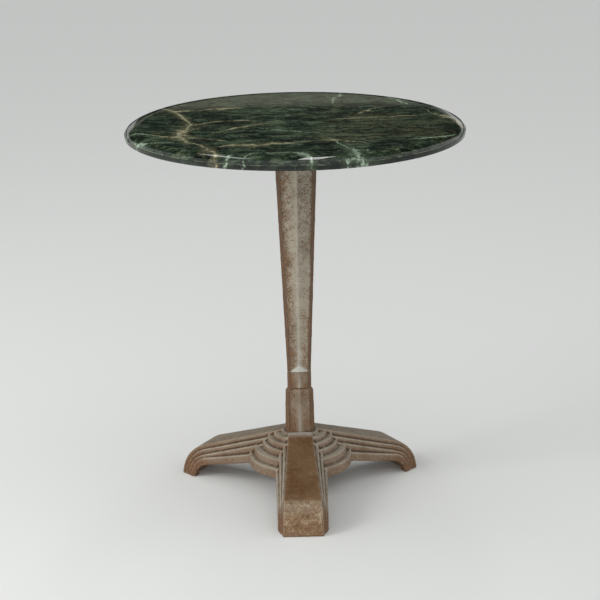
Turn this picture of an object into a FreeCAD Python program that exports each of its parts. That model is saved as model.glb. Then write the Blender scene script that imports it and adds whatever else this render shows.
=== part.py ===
import FreeCAD, Part
import math
import os
import re
import Sketcher

# A round cafe table: a marble top on a faceted cast-iron column and a tripod base.
# Millimetres, +Z up, origin on the floor under the column, one leg along -Y.

# alias, size, meaning
SIZES = [
    ("table_height", 700, "floor to the marble's top face"),
    ("top_radius", 305, "marble, widest radius"),
    ("top_face_radius", 287, "marble, radius of the flat top face"),
    ("top_thickness", 20, "marble"),
    ("rim_band", 8, "height of the upright band at the marble's edge"),
    ("rim_rounding", 2, "rounding under the marble's edge"),
    ("rim_ledge", 1.2, "step between the upright band and the moulded edge"),
    ("bow_outer_radius", 13.4, "moulded edge, its lower and tighter round"),
    ("bow_inner_radius", 43, "moulded edge, its upper and wider round"),
    ("bow_turn_in", 7, "moulded edge, where the rounds meet, in from the widest radius"),
    ("bow_turn_down", 4.4, "moulded edge, where the rounds meet, below the top face"),
    ("insert_circle", 132, "radius on which the threaded inserts lie"),
    ("insert_radius", 5, "threaded insert in the marble"),
    ("insert_depth", 11, "depth of an insert's hole"),
    ("pad_radius", 12, "cork pad between bracket and marble"),
    ("pad_thickness", 2, "cork pad"),
    ("screw_radius", 3, "screw that holds the marble"),
    ("screw_head_radius", 5.8, "across the corners of the hexagon head, halved"),
    ("screw_head_height", 4, "screw that holds the marble"),
    ("screw_gap", 1, "left free at the end of an insert's hole"),
    ("flange_thickness", 8, "flat upper part of a bracket arm"),
    ("arm_width", 30, "bracket arm, at its flange"),
    ("arm_length", 150, "bracket arm, from the axis to its round end"),
    ("arm_end_radius", 15.01, "bracket arm, its round end"),
    ("rib_width", 10, "bracket arm, stiffening rib"),
    ("rib_length", 112, "bracket arm, from the axis to where the rib runs out"),
    ("hub_radius", 26, "bracket hub"),
    ("cap_radius", 44, "disc that covers the column's mouth"),
    ("cap_thickness", 8, "disc that covers the column's mouth"),
    ("plug_radius", 18.5, "round plug that centres the bracket in the column"),
    ("plug_depth", 14, "plug inside the column"),
    ("well_radius", 14, "recess for the upper nut"),
    ("well_depth", 16, "recess for the upper nut"),
    ("column_top", 650, "height of the column's mouth"),
    ("column_foot", 233.3, "height where the column meets the collar"),
    ("column_wide_top", 65.4, "wide face at the mouth"),
    ("column_narrow_top", 12, "narrow face at the mouth"),
    ("column_ridge_top", 3.2, "ridge of a wide face, at the mouth"),
    ("column_wide_foot", 34.8, "wide face at the foot"),
    ("column_narrow_foot", 9.4, "narrow face at the foot"),
    ("column_ridge_foot", 0.6, "ridge of a wide face, at the foot"),
    ("column_wall", 5, "wall of the hollow column"),
    ("column_floor", 12, "solid foot under the column's hollow"),
    ("tongue_height", 15.2, "pointed tongue at the foot of each wide face"),
    ("tongue_shoulder", 7.6, "height where the tongue's sides bend"),
    ("tongue_half_width", 17.2, "tongue at its base"),
    ("tongue_half_shoulder", 9.7, "tongue at its shoulder"),
    ("tongue_half_tip", 1, "tongue at its tip"),
    ("tongue_depth", 3.4, "tongue at its base, proud of the face"),
    ("tongue_depth_shoulder", 2.1, "tongue at its shoulder, proud of the face"),
    ("tongue_depth_tip", 0.7, "tongue at its tip, proud of the face"),
    ("tongue_root", 0.3, "tongue's corners, let into the face"),
    ("spigot_wall", 4.6, "the spigot stands in from the column's foot by this much"),
    ("spigot_length", 90, "spigot below the column's foot"),
    ("spigot_ridge", 0.1, "ridge of the spigot's wide faces"),
    ("slip", 0.2, "clearance round the spigot"),
    ("collar_foot", 202, "height where the collar meets the sleeve"),
    ("collar_wide", 35.6, "collar, wide face"),
    ("collar_narrow", 9.3, "collar, narrow face"),
    ("collar_ridge", 3, "collar, ridge of a wide face"),
    ("sleeve_wide_top", 40.2, "sleeve, wide face at its shoulder"),
    ("sleeve_narrow_top", 11.8, "sleeve, narrow face at its shoulder"),
    ("sleeve_wide_foot", 42.4, "sleeve, wide face at its foot"),
    ("sleeve_narrow_foot", 12.6, "sleeve, narrow face at its foot"),
    ("sleeve_ridge", 1.6, "sleeve, ridge of a wide face"),
    ("shoulder_bevel", 5, "bevel round the sleeve's shoulder, its height"),
    ("shoulder_inset", 2.4, "bevel round the sleeve's shoulder, its depth"),
    ("foot_bevel", 2, "bevel round the sleeve's foot, its height"),
    ("foot_inset", 1, "bevel round the sleeve's foot, its depth"),
    ("seat_height", 116, "height of the seat that carries the sleeve"),
    ("seat_radius", 33, "round seat on the dome"),
    ("rod_radius", 6, "threaded tie rod"),
    ("rod_hole_radius", 6.5, "hole for the tie rod"),
    ("rod_low", 58, "lower end of the tie rod"),
    ("rod_below_face", 3, "upper end of the tie rod, below the bracket's top"),
    ("nut_radius", 10.97, "across the corners of the nut, halved"),
    ("nut_height", 10, "nut"),
    ("washer_radius", 12.5, "washer"),
    ("washer_thickness", 2.5, "washer"),
    ("dome_radius", 95, "base, rim of the stepped dome"),
    ("dome_low", 50.5, "base, height of the dome's rim above the floor"),
    ("ring_riser", 1.2, "base, lean of each riser"),
    ("ring_tilt", 0.8, "base, rise of each ring's tread towards the axis"),
    ("base_wall", 6, "base, casting thickness"),
    ("hollow_wall_height", 62, "hollow under the dome, top of its upright wall"),
    ("hollow_shoulder", 62, "hollow under the dome, radius where its slope eases"),
    ("hollow_shoulder_height", 86, "hollow under the dome, height there"),
    ("hollow_crown", 42, "hollow under the dome, radius of its ceiling"),
    ("ceiling_height", 100, "hollow under the dome, its ceiling"),
    ("boss_radius", 20, "base, boss round the tie rod"),
    ("boss_low", 84, "base, lower face of the boss"),
    ("leg_start", 22.5, "inner end of each leg, a little clear of the sleeve"),
    ("leg_nose", 3, "rounding at a leg's inner end"),
    ("core_height", 128.2, "leg core, its top line carried to the axis"),
    ("core_slope", 18.5, "leg core, degrees down from level"),
    ("core_toe", 238.5, "leg core, reach of the toe"),
    ("first_height", 118.5, "first step, top line at the axis"),
    ("first_slope", 18.5, "first step, degrees"),
    ("first_toe", 230.6, "first step, reach"),
    ("second_height", 108.8, "second step, top line at the axis"),
    ("second_slope", 18.5, "second step, degrees"),
    ("second_toe", 223.5, "second step, reach"),
    ("third_height", 88.2, "third step, top line at the axis"),
    ("third_slope", 14.4, "third step, degrees"),
    ("third_toe", 216.3, "third step, reach"),
    ("core_width_axis", 20.7, "leg core, half its width at the axis"),
    ("core_width_toe", 36.6, "leg core, half its width at the toe"),
    ("outer_width_axis", 48.8, "third step, half its width at the axis"),
    ("outer_width_toe", 45, "third step, half its width at the toe"),
    ("arch_start", 85, "underside of a leg, where it leaves the dome"),
    ("arch_start_height", 49.1, "underside of a leg, at the dome"),
    ("arch_end", 182, "underside of a leg, where it turns down to the toe"),
    ("arch_end_height", 28.5, "underside of a leg, at that turn"),
    ("arch_radius", 32, "underside of a leg, the turn"),
    ("heel", 207, "where the toe meets the floor"),
    ("leg_hollow_start", 60, "hollow under a leg's outer steps, inner end"),
    ("leg_hollow_end", 195, "hollow under a leg's outer steps, outer end"),
    ("core_hollow_start", 36, "hollow under a leg's core, inner end"),
    ("core_hollow_end", 214, "hollow under a leg's core, in the toe"),
    ("core_roof", 9, "casting thickness over the hollow under a leg's core"),
    ("core_side", 5, "casting thickness beside the hollow under a leg's core"),
]

# The dome's steps, from the rim to the seat: radius and height of each ring's edge.
RINGS = [
    (95, 69),
    (85, 84),
    (69.4, 95),
    (59.6, 105),
    (48, 113),
]

LEG_ANGLES = [-90, 30, 150]
STEPS = ["core", "first", "second", "third"]
# Reach to which a leg's plan is drawn, past every toe.
FAR_SIDE = 260
# How far a cutting or bounding shape runs past what it cuts or bounds.
CLEAR = 10

doc = FreeCAD.newDocument("bistro_table")
sheet = doc.addObject("Spreadsheet::Sheet", "Sizes")


def fill_sheet():
    """Write the driving dimensions into the spreadsheet, one a row."""
    for row, (alias, size, meaning) in enumerate(SIZES, start=1):
        sheet.set(f"A{row}", meaning)
        sheet.set(f"B{row}", str(size))
        sheet.setAlias(f"B{row}", alias)
    for row, (radius, height) in enumerate(RINGS, start=1):
        sheet.set(f"D{row}", str(radius))
        sheet.setAlias(f"D{row}", f"ring_radius_{row}")
        sheet.set(f"E{row}", str(height))
        sheet.setAlias(f"E{row}", f"ring_height_{row}")
    doc.recompute()


def bound(formula):
    """Write each of the sheet's aliases in a formula the way FreeCAD reads it."""
    def word(found):
        text = found.group(0)
        return f"Sizes.{text}" if sheet.getCellFromAlias(text) else text
    return re.sub(r"[a-z][a-z_0-9]+", word, formula)


def number(formula):
    """Return what a formula comes to now."""
    return float(sheet.evalExpression(bound(formula)))


def arc_between(start, end, radius):
    """Return an arc and whether it runs from start to end (or from end to start).

    A positive radius bulges to the right of the way from start to end.
    """
    chord = end - start
    middle = (start + end) * 0.5
    left = FreeCAD.Vector(-chord.y, chord.x, 0).normalize()
    reach = math.sqrt(radius ** 2 - (chord.Length / 2) ** 2)
    centre = middle + left * (reach if radius > 0 else -reach)
    first, last = (start, end) if radius > 0 else (end, start)
    circle = Part.Circle(centre, FreeCAD.Vector(0, 0, 1), abs(radius))
    first_angle = math.atan2(first.y - centre.y, first.x - centre.x)
    last_angle = math.atan2(last.y - centre.y, last.x - centre.x)
    return Part.ArcOfCircle(circle, first_angle, last_angle), radius > 0


def fix_length(sketch, kind, place, formula):
    """Bind one dimension of a sketch to a formula."""
    constraint = Sketcher.Constraint(kind, *place, number(formula))
    index = sketch.addConstraint(constraint)
    sketch.setExpression(f"Constraints[{index}]", bound(formula))


def draw_outline(sketch, corners):
    """Draw a closed outline, anticlockwise, and bind each corner's place.

    A corner is (x, y), or (x, y, radius) where an arc leads to the next corner.
    A radius with a minus sign makes the arc hollow.
    """
    places = [FreeCAD.Vector(number(corner[0]), number(corner[1]), 0) for corner in corners]
    ends = []
    for index, corner in enumerate(corners):
        start = places[index]
        end = places[(index + 1) % len(corners)]
        if len(corner) == 3:
            arc, forward = arc_between(start, end, number(corner[2]))
            edge = sketch.addGeometry(arc, False)
            fix_length(sketch, "Radius", (edge,), corner[2].lstrip("-"))
            ends.append((edge, 1, 2) if forward else (edge, 2, 1))
        else:
            edge = sketch.addGeometry(Part.LineSegment(start, end), False)
            ends.append((edge, 1, 2))
    for index, (edge, start_point, _) in enumerate(ends):
        before, _, end_point = ends[index - 1]
        sketch.addConstraint(Sketcher.Constraint("Coincident", before, end_point, edge, start_point))
        fix_length(sketch, "DistanceX", (-1, 1, edge, start_point), corners[index][0])
        fix_length(sketch, "DistanceY", (-1, 1, edge, start_point), corners[index][1])


def draw_circle(sketch, radius, x="0", y="0"):
    """Draw a circle and bind its radius and centre."""
    centre = FreeCAD.Vector(number(x), number(y), 0)
    edge = sketch.addGeometry(Part.Circle(centre, FreeCAD.Vector(0, 0, 1), number(radius)), False)
    fix_length(sketch, "Radius", (edge,), radius)
    fix_length(sketch, "DistanceX", (-1, 1, edge, 3), x)
    fix_length(sketch, "DistanceY", (-1, 1, edge, 3), y)


def new_body(label):
    """Make an empty body for one sub-part."""
    body = doc.addObject("PartDesign::Body", label)
    body.Label = label
    return body


def new_sketch(body, name, role, lift="0"):
    """Make a sketch on one of the body's own origin planes, moved along that plane's normal."""
    plane = next(item for item in body.Origin.OriginFeatures if item.Role == role)
    sketch = body.newObject("Sketcher::SketchObject", name)
    sketch.AttachmentSupport = (plane, [""])
    sketch.MapMode = "FlatFace"
    sketch.setExpression("AttachmentOffset.Base.z", bound(lift))
    return sketch


def pad(body, name, sketch, length, downwards=False):
    """Add the sketch's outline to the body, as thick as length."""
    feature = body.newObject("PartDesign::Pad", name)
    feature.Profile = sketch
    feature.setExpression("Length", bound(length))
    feature.Reversed = downwards
    doc.recompute()
    return feature


def pocket(body, name, sketch, depth, upwards=False):
    """Cut the sketch's outline out of the body, and make sure that it cuts something."""
    before = body.Shape.Volume
    feature = body.newObject("PartDesign::Pocket", name)
    feature.Profile = sketch
    feature.setExpression("Length", bound(depth))
    feature.Reversed = upwards
    doc.recompute()
    if body.Shape.Volume > before - 1:
        raise RuntimeError(f"{name} cuts nothing")
    return feature


def loft(body, name, kind, sketches):
    """Join outlines at different heights with straight faces; kind adds or cuts them."""
    feature = body.newObject(f"PartDesign::{kind}", name)
    feature.Profile = sketches[0]
    feature.Sections = sketches[1:]
    feature.Ruled = True
    doc.recompute()
    return feature


def three_times(body, name, features):
    """Repeat features on the three sides of the table."""
    pattern = body.newObject("PartDesign::PolarPattern", name)
    pattern.Originals = features
    axis = next(item for item in body.Origin.OriginFeatures if item.Role == "Z_Axis")
    pattern.Axis = (axis, [""])
    pattern.Angle = 360
    pattern.Occurrences = len(LEG_ANGLES)
    body.Tip = pattern
    doc.recompute()
    return pattern


def cylinder(name, radius, height, lift, x="0", y="0"):
    """Make an upright cylinder that starts at lift."""
    piece = doc.addObject("Part::Cylinder", name)
    piece.setExpression("Radius", bound(radius))
    piece.setExpression("Height", bound(height))
    piece.setExpression("Placement.Base.x", bound(x))
    piece.setExpression("Placement.Base.y", bound(y))
    piece.setExpression("Placement.Base.z", bound(lift))
    return piece


def hexagon(name, radius, height, lift, x="0", y="0"):
    """Make an upright hexagonal prism; its radius reaches the corners."""
    piece = doc.addObject("Part::Prism", name)
    piece.Polygon = 6
    piece.setExpression("Circumradius", bound(radius))
    piece.setExpression("Height", bound(height))
    piece.setExpression("Placement.Base.x", bound(x))
    piece.setExpression("Placement.Base.y", bound(y))
    piece.setExpression("Placement.Base.z", bound(lift))
    return piece


def cut(name, base, tool):
    """Take one solid out of another."""
    piece = doc.addObject("Part::Cut", name)
    piece.Base = base
    piece.Tool = tool
    piece.Label = name
    return piece


def group(name, kind, pieces):
    """Join solids: kind is MultiFuse, MultiCommon or Compound."""
    piece = doc.addObject(f"Part::{kind}", name)
    if kind == "Compound":
        piece.Links = pieces
    else:
        piece.Shapes = pieces
    piece.Label = name
    return piece


def on_circle(radius, angle):
    """Return the formulas of a place on a circle round the axis."""
    return f"({radius}) * cos({angle} deg)", f"({radius}) * sin({angle} deg)"


# ---- marble top ----------------------------------------------------------------------

def marble_top():
    """Turn the slab: a flat face, a moulded edge, a small ledge and an upright band."""
    body = new_body("marble_top")
    section = new_sketch(body, "marble_section", "XZ_Plane")
    band_top = "table_height - top_thickness + rim_band"
    draw_outline(section, [
        ("0", "table_height - top_thickness"),
        ("top_radius - rim_rounding", "table_height - top_thickness", "rim_rounding"),
        ("top_radius", "table_height - top_thickness + rim_rounding"),
        ("top_radius", band_top, "rim_ledge"),
        ("top_radius - rim_ledge", f"{band_top} + rim_ledge", "bow_outer_radius"),
        ("top_radius - bow_turn_in", "table_height - bow_turn_down", "bow_inner_radius"),
        ("top_face_radius", "table_height"),
        ("0", "table_height"),
    ])
    slab = body.newObject("PartDesign::Revolution", "marble_turned")
    slab.Profile = section
    slab.ReferenceAxis = (section, ["V_Axis"])
    slab.Angle = 360
    doc.recompute()
    hole_place = new_sketch(body, "insert_hole_place", "XY_Plane", "table_height - top_thickness")
    draw_circle(hole_place, "insert_radius", *on_circle("insert_circle", LEG_ANGLES[0]))
    hole = pocket(body, "insert_hole", hole_place, "insert_depth", upwards=True)
    three_times(body, "insert_holes", [hole])
    return body


def marble_inserts():
    """Make the three threaded sleeves that are glued into the marble."""
    inserts = []
    for index, angle in enumerate(LEG_ANGLES):
        x, y = on_circle("insert_circle", angle)
        lift = "table_height - top_thickness"
        outside = cylinder(f"insert_{index}_outside", "insert_radius", "insert_depth", lift, x, y)
        bore = cylinder(f"insert_{index}_bore", "screw_radius", "insert_depth", lift, x, y)
        inserts.append(cut(f"insert_{index}", outside, bore))
    return group("marble_inserts", "Compound", inserts)


# ---- bracket under the marble --------------------------------------------------------

BRACKET_TOP = "table_height - top_thickness - pad_thickness"


def spider():
    """Build the bracket: plug, cap, hub and three arms with a rib under each."""
    body = new_body("spider")
    plug = new_sketch(body, "plug_outline", "XY_Plane", "column_top - plug_depth")
    draw_circle(plug, "plug_radius")
    pad(body, "plug", plug, "plug_depth")
    cap = new_sketch(body, "cap_outline", "XY_Plane", "column_top")
    draw_circle(cap, "cap_radius")
    pad(body, "cap", cap, "cap_thickness")
    hub = new_sketch(body, "hub_outline", "XY_Plane", "column_top")
    draw_circle(hub, "hub_radius")
    pad(body, "hub", hub, f"{BRACKET_TOP} - column_top")
    arm = new_sketch(body, "arm_outline", "XY_Plane", BRACKET_TOP)
    draw_outline(arm, [
        ("-arm_width / 2", "-arm_length + arm_width / 2", "arm_end_radius"),
        ("arm_width / 2", "-arm_length + arm_width / 2"),
        ("arm_width / 2", "0"),
        ("-arm_width / 2", "0"),
    ])
    flange = pad(body, "arm_flange", arm, "flange_thickness", downwards=True)
    rib_side = new_sketch(body, "rib_side", "YZ_Plane", "-rib_width / 2")
    draw_outline(rib_side, [
        ("-rib_length", f"{BRACKET_TOP} - flange_thickness"),
        ("-hub_radius / 2", "column_top + cap_thickness / 2"),
        ("-hub_radius / 2", f"{BRACKET_TOP} - flange_thickness / 2"),
        ("-rib_length", f"{BRACKET_TOP} - flange_thickness / 2"),
    ])
    rib = pad(body, "arm_rib", rib_side, "rib_width")
    hole_place = new_sketch(body, "screw_hole_place", "XY_Plane", BRACKET_TOP)
    draw_circle(hole_place, "screw_radius + slip", *on_circle("insert_circle", LEG_ANGLES[0]))
    hole = pocket(body, "screw_hole", hole_place, "flange_thickness")
    three_times(body, "arms", [flange, rib, hole])
    well = new_sketch(body, "well_outline", "XY_Plane", BRACKET_TOP)
    draw_circle(well, "well_radius")
    pocket(body, "well", well, "well_depth")
    rod_way = new_sketch(body, "rod_way", "XY_Plane", BRACKET_TOP)
    draw_circle(rod_way, "rod_hole_radius")
    pocket(body, "rod_way_cut", rod_way, f"{BRACKET_TOP} - column_top + plug_depth")
    return body


def spider_screws():
    """Make the three hexagon-headed screws, from below the arms into the marble's inserts."""
    screws = []
    under_flange = f"{BRACKET_TOP} - flange_thickness"
    for index, angle in enumerate(LEG_ANGLES):
        x, y = on_circle("insert_circle", angle)
        head = hexagon(
            f"screw_{index}_head", "screw_head_radius", "screw_head_height",
            f"{under_flange} - screw_head_height", x, y)
        shank = cylinder(
            f"screw_{index}_shank", "screw_radius",
            "flange_thickness + pad_thickness + insert_depth - screw_gap", under_flange, x, y)
        screws.append(group(f"screw_{index}", "MultiFuse", [head, shank]))
    return group("spider_screws", "Compound", screws)


def spider_pads():
    """Make the three cork rings that the marble lies on."""
    pads = []
    for index, angle in enumerate(LEG_ANGLES):
        x, y = on_circle("insert_circle", angle)
        disc = cylinder(f"pad_{index}_disc", "pad_radius", "pad_thickness", BRACKET_TOP, x, y)
        hole = cylinder(
            f"pad_{index}_hole", "screw_radius + slip", "pad_thickness", BRACKET_TOP, x, y)
        pads.append(cut(f"pad_{index}", disc, hole))
    return group("spider_pads", "Compound", pads)


# ---- column, collar and sleeve -------------------------------------------------------

def apothem(wide, narrow):
    """Return the distance from the axis to a wide face, for equal corner angles."""
    return f"(({wide}) + 2 * ({narrow})) / (2 * sqrt(3))"


def on_face(angle, along, outward):
    """Place a point by its way along a face and its distance from the axis."""
    sine, cosine = f"sin({angle} deg)", f"cos({angle} deg)"
    x = f"({outward}) * {cosine} - ({along}) * {sine}"
    y = f"({outward}) * {sine} + ({along}) * {cosine}"
    return x, y


def faceted(wide, narrow, ridge):
    """Return the corners of a triangle with cut corners and a low ridge on each wide face."""
    face = apothem(wide, narrow)
    corners = []
    for angle in LEG_ANGLES:
        corners.append(on_face(angle, f"-({wide}) / 2", face))
        corners.append(on_face(angle, "0", f"{face} + {ridge}"))
        corners.append(on_face(angle, f"({wide}) / 2", face))
    return corners


def faceted_sketch(body, name, lift, wide, narrow, ridge, inset="0"):
    """Draw a faceted section at a height, drawn in from its faces by inset."""
    sketch = new_sketch(body, name, "XY_Plane", lift)
    shorter = f"2 / sqrt(3) * ({inset})"
    draw_outline(sketch, faceted(f"{wide} - {shorter}", f"{narrow} - {shorter}", ridge))
    return sketch


SPIGOT = ("column_wide_foot", "column_narrow_foot", "spigot_ridge")


def column():
    """Loft the hollow column, with a tongue at the foot of each wide face and a spigot below."""
    body = new_body("column")
    foot_size = ("column_wide_foot", "column_narrow_foot", "column_ridge_foot")
    top_size = ("column_wide_top", "column_narrow_top", "column_ridge_top")
    foot = faceted_sketch(body, "column_foot_section", "column_foot", *foot_size)
    top = faceted_sketch(body, "column_top_section", "column_top", *top_size)
    loft(body, "column_outside", "AdditiveLoft", [foot, top])
    face = apothem("column_wide_foot", "column_narrow_foot")
    levels = [
        ("0", "tongue_half_width", "tongue_depth"),
        ("tongue_shoulder", "tongue_half_shoulder", "tongue_depth_shoulder"),
        ("tongue_height", "tongue_half_tip", "tongue_depth_tip"),
    ]
    outlines = []
    for index, (rise, half_width, depth) in enumerate(levels):
        outline = new_sketch(body, f"tongue_level_{index}", "XY_Plane", f"column_foot + {rise}")
        draw_outline(outline, [
            on_face(LEG_ANGLES[0], f"-({half_width})", f"{face} - tongue_root"),
            on_face(LEG_ANGLES[0], "0", f"{face} + {depth}"),
            on_face(LEG_ANGLES[0], half_width, f"{face} - tongue_root"),
        ])
        outlines.append(outline)
    tongue = loft(body, "tongue", "AdditiveLoft", outlines)
    three_times(body, "tongues", [tongue])
    spigot = faceted_sketch(body, "spigot_section", "column_foot", *SPIGOT, "spigot_wall")
    pad(body, "spigot", spigot, "spigot_length", downwards=True)
    hollow_foot = faceted_sketch(
        body, "hollow_foot", "column_foot + column_floor", *foot_size, "column_wall")
    hollow_top = faceted_sketch(body, "hollow_top", "column_top", *top_size, "column_wall")
    loft(body, "column_hollow", "SubtractiveLoft", [hollow_foot, hollow_top])
    rod_way = new_sketch(body, "column_rod_way", "XY_Plane", "column_foot + column_floor")
    draw_circle(rod_way, "rod_hole_radius")
    pocket(body, "column_rod_cut", rod_way, "column_floor + spigot_length")
    return body


def collar():
    """Build the faceted ring between column and sleeve, bored for the column's spigot."""
    body = new_body("collar")
    outside = faceted_sketch(
        body, "collar_section", "collar_foot", "collar_wide", "collar_narrow", "collar_ridge")
    pad(body, "collar_outside", outside, "column_foot - collar_foot")
    bore = faceted_sketch(body, "collar_bore", "column_foot", *SPIGOT, "spigot_wall - slip")
    pocket(body, "collar_bore_cut", bore, "column_foot - collar_foot")
    return body


def sleeve():
    """Loft the socket above the dome: bevelled shoulder, slight taper, bevelled foot."""
    body = new_body("sleeve")
    top_size = ("sleeve_wide_top", "sleeve_narrow_top", "sleeve_ridge")
    foot_size = ("sleeve_wide_foot", "sleeve_narrow_foot", "sleeve_ridge")
    levels = [
        ("seat_height", foot_size, "foot_inset"),
        ("seat_height + foot_bevel", foot_size, "0"),
        ("collar_foot - shoulder_bevel", top_size, "0"),
        ("collar_foot", top_size, "shoulder_inset"),
    ]
    sections = []
    for index, (lift, size, inset) in enumerate(levels):
        sections.append(faceted_sketch(body, f"sleeve_level_{index}", lift, *size, inset))
    loft(body, "sleeve_outside", "AdditiveLoft", sections)
    bore = faceted_sketch(body, "sleeve_bore", "collar_foot", *SPIGOT, "spigot_wall - slip")
    pocket(body, "sleeve_bore_cut", bore, "collar_foot - seat_height")
    return body


# ---- tripod base ---------------------------------------------------------------------

def upright_sketch(name):
    """Make a sketch in the plane of the leg along +X: its x is the reach, its y the height."""
    sketch = doc.addObject("Sketcher::SketchObject", name)
    sketch.Placement = FreeCAD.Placement(
        FreeCAD.Vector(), FreeCAD.Rotation(FreeCAD.Vector(1, 0, 0), 90))
    return sketch


def turned(name, corners):
    """Turn an upright outline round the axis."""
    sketch = upright_sketch(f"{name}_section")
    draw_outline(sketch, corners)
    solid = doc.addObject("Part::Revolution", name)
    solid.Source = sketch
    solid.Axis = FreeCAD.Vector(0, 0, 1)
    solid.Base = FreeCAD.Vector()
    solid.Angle = 360
    solid.Solid = True
    return solid


def bar(name, side, half_width_axis, half_width_toe):
    """Make a bar along +X: a side outline, as wide as a plan that tapers to the toe."""
    side_sketch = upright_sketch(f"{name}_side")
    draw_outline(side_sketch, side)
    thick = doc.addObject("Part::Extrusion", f"{name}_thick")
    thick.Base = side_sketch
    thick.DirMode = "Normal"
    thick.setExpression("LengthFwd", bound(f"2 * outer_width_axis + {CLEAR}"))
    thick.Solid = True
    thick.Symmetric = True
    far = str(FAR_SIDE)
    half_far = (
        f"({half_width_axis}) + (({half_width_toe}) - ({half_width_axis})) * {far} / core_toe")
    plan = doc.addObject("Sketcher::SketchObject", f"{name}_plan")
    draw_outline(plan, [
        ("0", f"-({half_width_axis})"),
        (far, f"-({half_far})"),
        (far, half_far),
        ("0", half_width_axis),
    ])
    tall = doc.addObject("Part::Extrusion", f"{name}_tall")
    tall.Base = plan
    tall.DirMode = "Normal"
    tall.setExpression("LengthFwd", bound(f"core_height + {CLEAR}"))
    tall.LengthRev = CLEAR
    tall.Solid = True
    return group(name, "MultiCommon", [thick, tall])


def top_line(step, reach):
    """Return the height of a step's top line at a reach."""
    return f"({step}_height - ({reach}) * tan({step}_slope * 1 deg))"


def toe_radius(step):
    """Return the radius that joins a step's top line to an upright toe at the floor."""
    angle = f"{step}_slope * 1 deg"
    return f"({top_line(step, f'{step}_toe')} * cos({angle}) / (1 - sin({angle})))"


def share_of_width(step, place):
    """Return half a step's width: the steps share what the core leaves of the whole width."""
    share = STEPS.index(step) / (len(STEPS) - 1)
    return f"core_width_{place} + (outer_width_{place} - core_width_{place}) * {share:.4f}"


def leg_step(step):
    """Make one of a leg's stepped layers: arch below, sloping top, round toe and inner end."""
    bend = toe_radius(step)
    angle = f"{step}_slope * 1 deg"
    inner_top = top_line(step, "leg_start + leg_nose")
    return bar(f"leg_{step}", [
        ("leg_start", "arch_start_height"),
        ("arch_start", "arch_start_height"),
        ("arch_end", "arch_end_height", "-arch_radius"),
        ("heel", "0"),
        (f"{step}_toe", "0", bend),
        (f"{step}_toe - {bend} * (1 - sin({angle}))", f"{bend} * cos({angle})"),
        ("leg_start + leg_nose", inner_top, "leg_nose"),
        ("leg_start", f"{inner_top} - leg_nose"),
    ], share_of_width(step, "axis"), share_of_width(step, "toe"))


def leg_hollow(name, step, start, end, roof, wall):
    """Make the hollow under a step: it follows the step's top line, one roof below it."""
    return bar(name, [
        (start, f"-{CLEAR}"),
        (end, f"-{CLEAR}"),
        (end, f"{top_line(step, end)} - ({roof})"),
        (start, f"{top_line(step, start)} - ({roof})"),
    ], f"{share_of_width(step, 'axis')} - {wall}", f"{share_of_width(step, 'toe')} - {wall}")


def at_each_leg(piece):
    """Return the piece at the three legs' angles, as links."""
    links = []
    for angle in LEG_ANGLES:
        link = doc.addObject("App::Link", f"{piece.Name}_at_{angle % 360}")
        link.LinkedObject = piece
        link.LinkTransform = True
        link.Placement = FreeCAD.Placement(
            FreeCAD.Vector(), FreeCAD.Rotation(FreeCAD.Vector(0, 0, 1), angle))
        links.append(link)
    return links


def dome():
    """Turn the dome's outside: an upright rim and a stair of rings up to the seat."""
    corners = [
        ("0", "dome_low"),
        ("dome_radius", "dome_low"),
    ]
    last = len(RINGS)
    for ring in range(1, last + 1):
        corners.append((f"ring_radius_{ring}", f"ring_height_{ring}"))
        inner = f"ring_radius_{ring + 1}" if ring < last else "seat_radius"
        corners.append((f"{inner} + ring_riser", f"ring_height_{ring} + ring_tilt"))
    corners.append(("seat_radius", "seat_height"))
    corners.append(("0", "seat_height"))
    return turned("dome", corners)


def dome_hollow():
    """Turn the space under the dome, which leaves a boss round the tie rod."""
    return turned("dome_hollow", [
        ("boss_radius", f"dome_low - {CLEAR}"),
        ("dome_radius - base_wall", f"dome_low - {CLEAR}"),
        ("dome_radius - base_wall", "hollow_wall_height"),
        ("hollow_shoulder", "hollow_shoulder_height"),
        ("hollow_crown", "ceiling_height"),
        ("boss_radius", "ceiling_height"),
    ])


def tripod_base():
    """Join the stepped dome and three stepped legs, and hollow the casting from below."""
    layers = []
    for step in STEPS:
        layers.extend(at_each_leg(leg_step(step)))
    outside = group("base_outside", "MultiFuse", [dome()] + layers)
    outer_hollow = leg_hollow(
        "outer_hollow", "third", "leg_hollow_start", "leg_hollow_end", "base_wall", "base_wall")
    core_hollow = leg_hollow(
        "core_hollow", "core", "core_hollow_start", "core_hollow_end", "core_roof", "core_side")
    hollows = at_each_leg(outer_hollow) + at_each_leg(core_hollow)
    under_boss = cylinder(
        "under_boss", "boss_radius", f"boss_low - dome_low + {CLEAR}", f"dome_low - {CLEAR}")
    rod_way = cylinder("base_rod_way", "rod_hole_radius", "seat_height", f"dome_low - {CLEAR}")
    hollow = group("base_hollow", "MultiFuse", [dome_hollow(), under_boss, rod_way] + hollows)
    return cut("tripod_base", outside, hollow)


# ---- tie rod, nuts and washers -------------------------------------------------------

def tie_rod():
    """Make the rod that clamps base, sleeve, collar, column and bracket together."""
    rod = cylinder("tie_rod", "rod_radius", f"{BRACKET_TOP} - rod_below_face - rod_low", "rod_low")
    rod.Label = "tie_rod"
    return rod


def washer(name, lift):
    """Make a washer that starts at lift."""
    disc = cylinder(f"{name}_disc", "washer_radius", "washer_thickness", lift)
    hole = cylinder(f"{name}_hole", "rod_hole_radius", "washer_thickness", lift)
    return cut(name, disc, hole)


def nut(name, lift):
    """Make a hexagon nut that starts at lift; its bore meets the rod."""
    block = hexagon(f"{name}_block", "nut_radius", "nut_height", lift)
    hole = cylinder(f"{name}_hole", "rod_radius", "nut_height", lift)
    return cut(name, block, hole)


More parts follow.
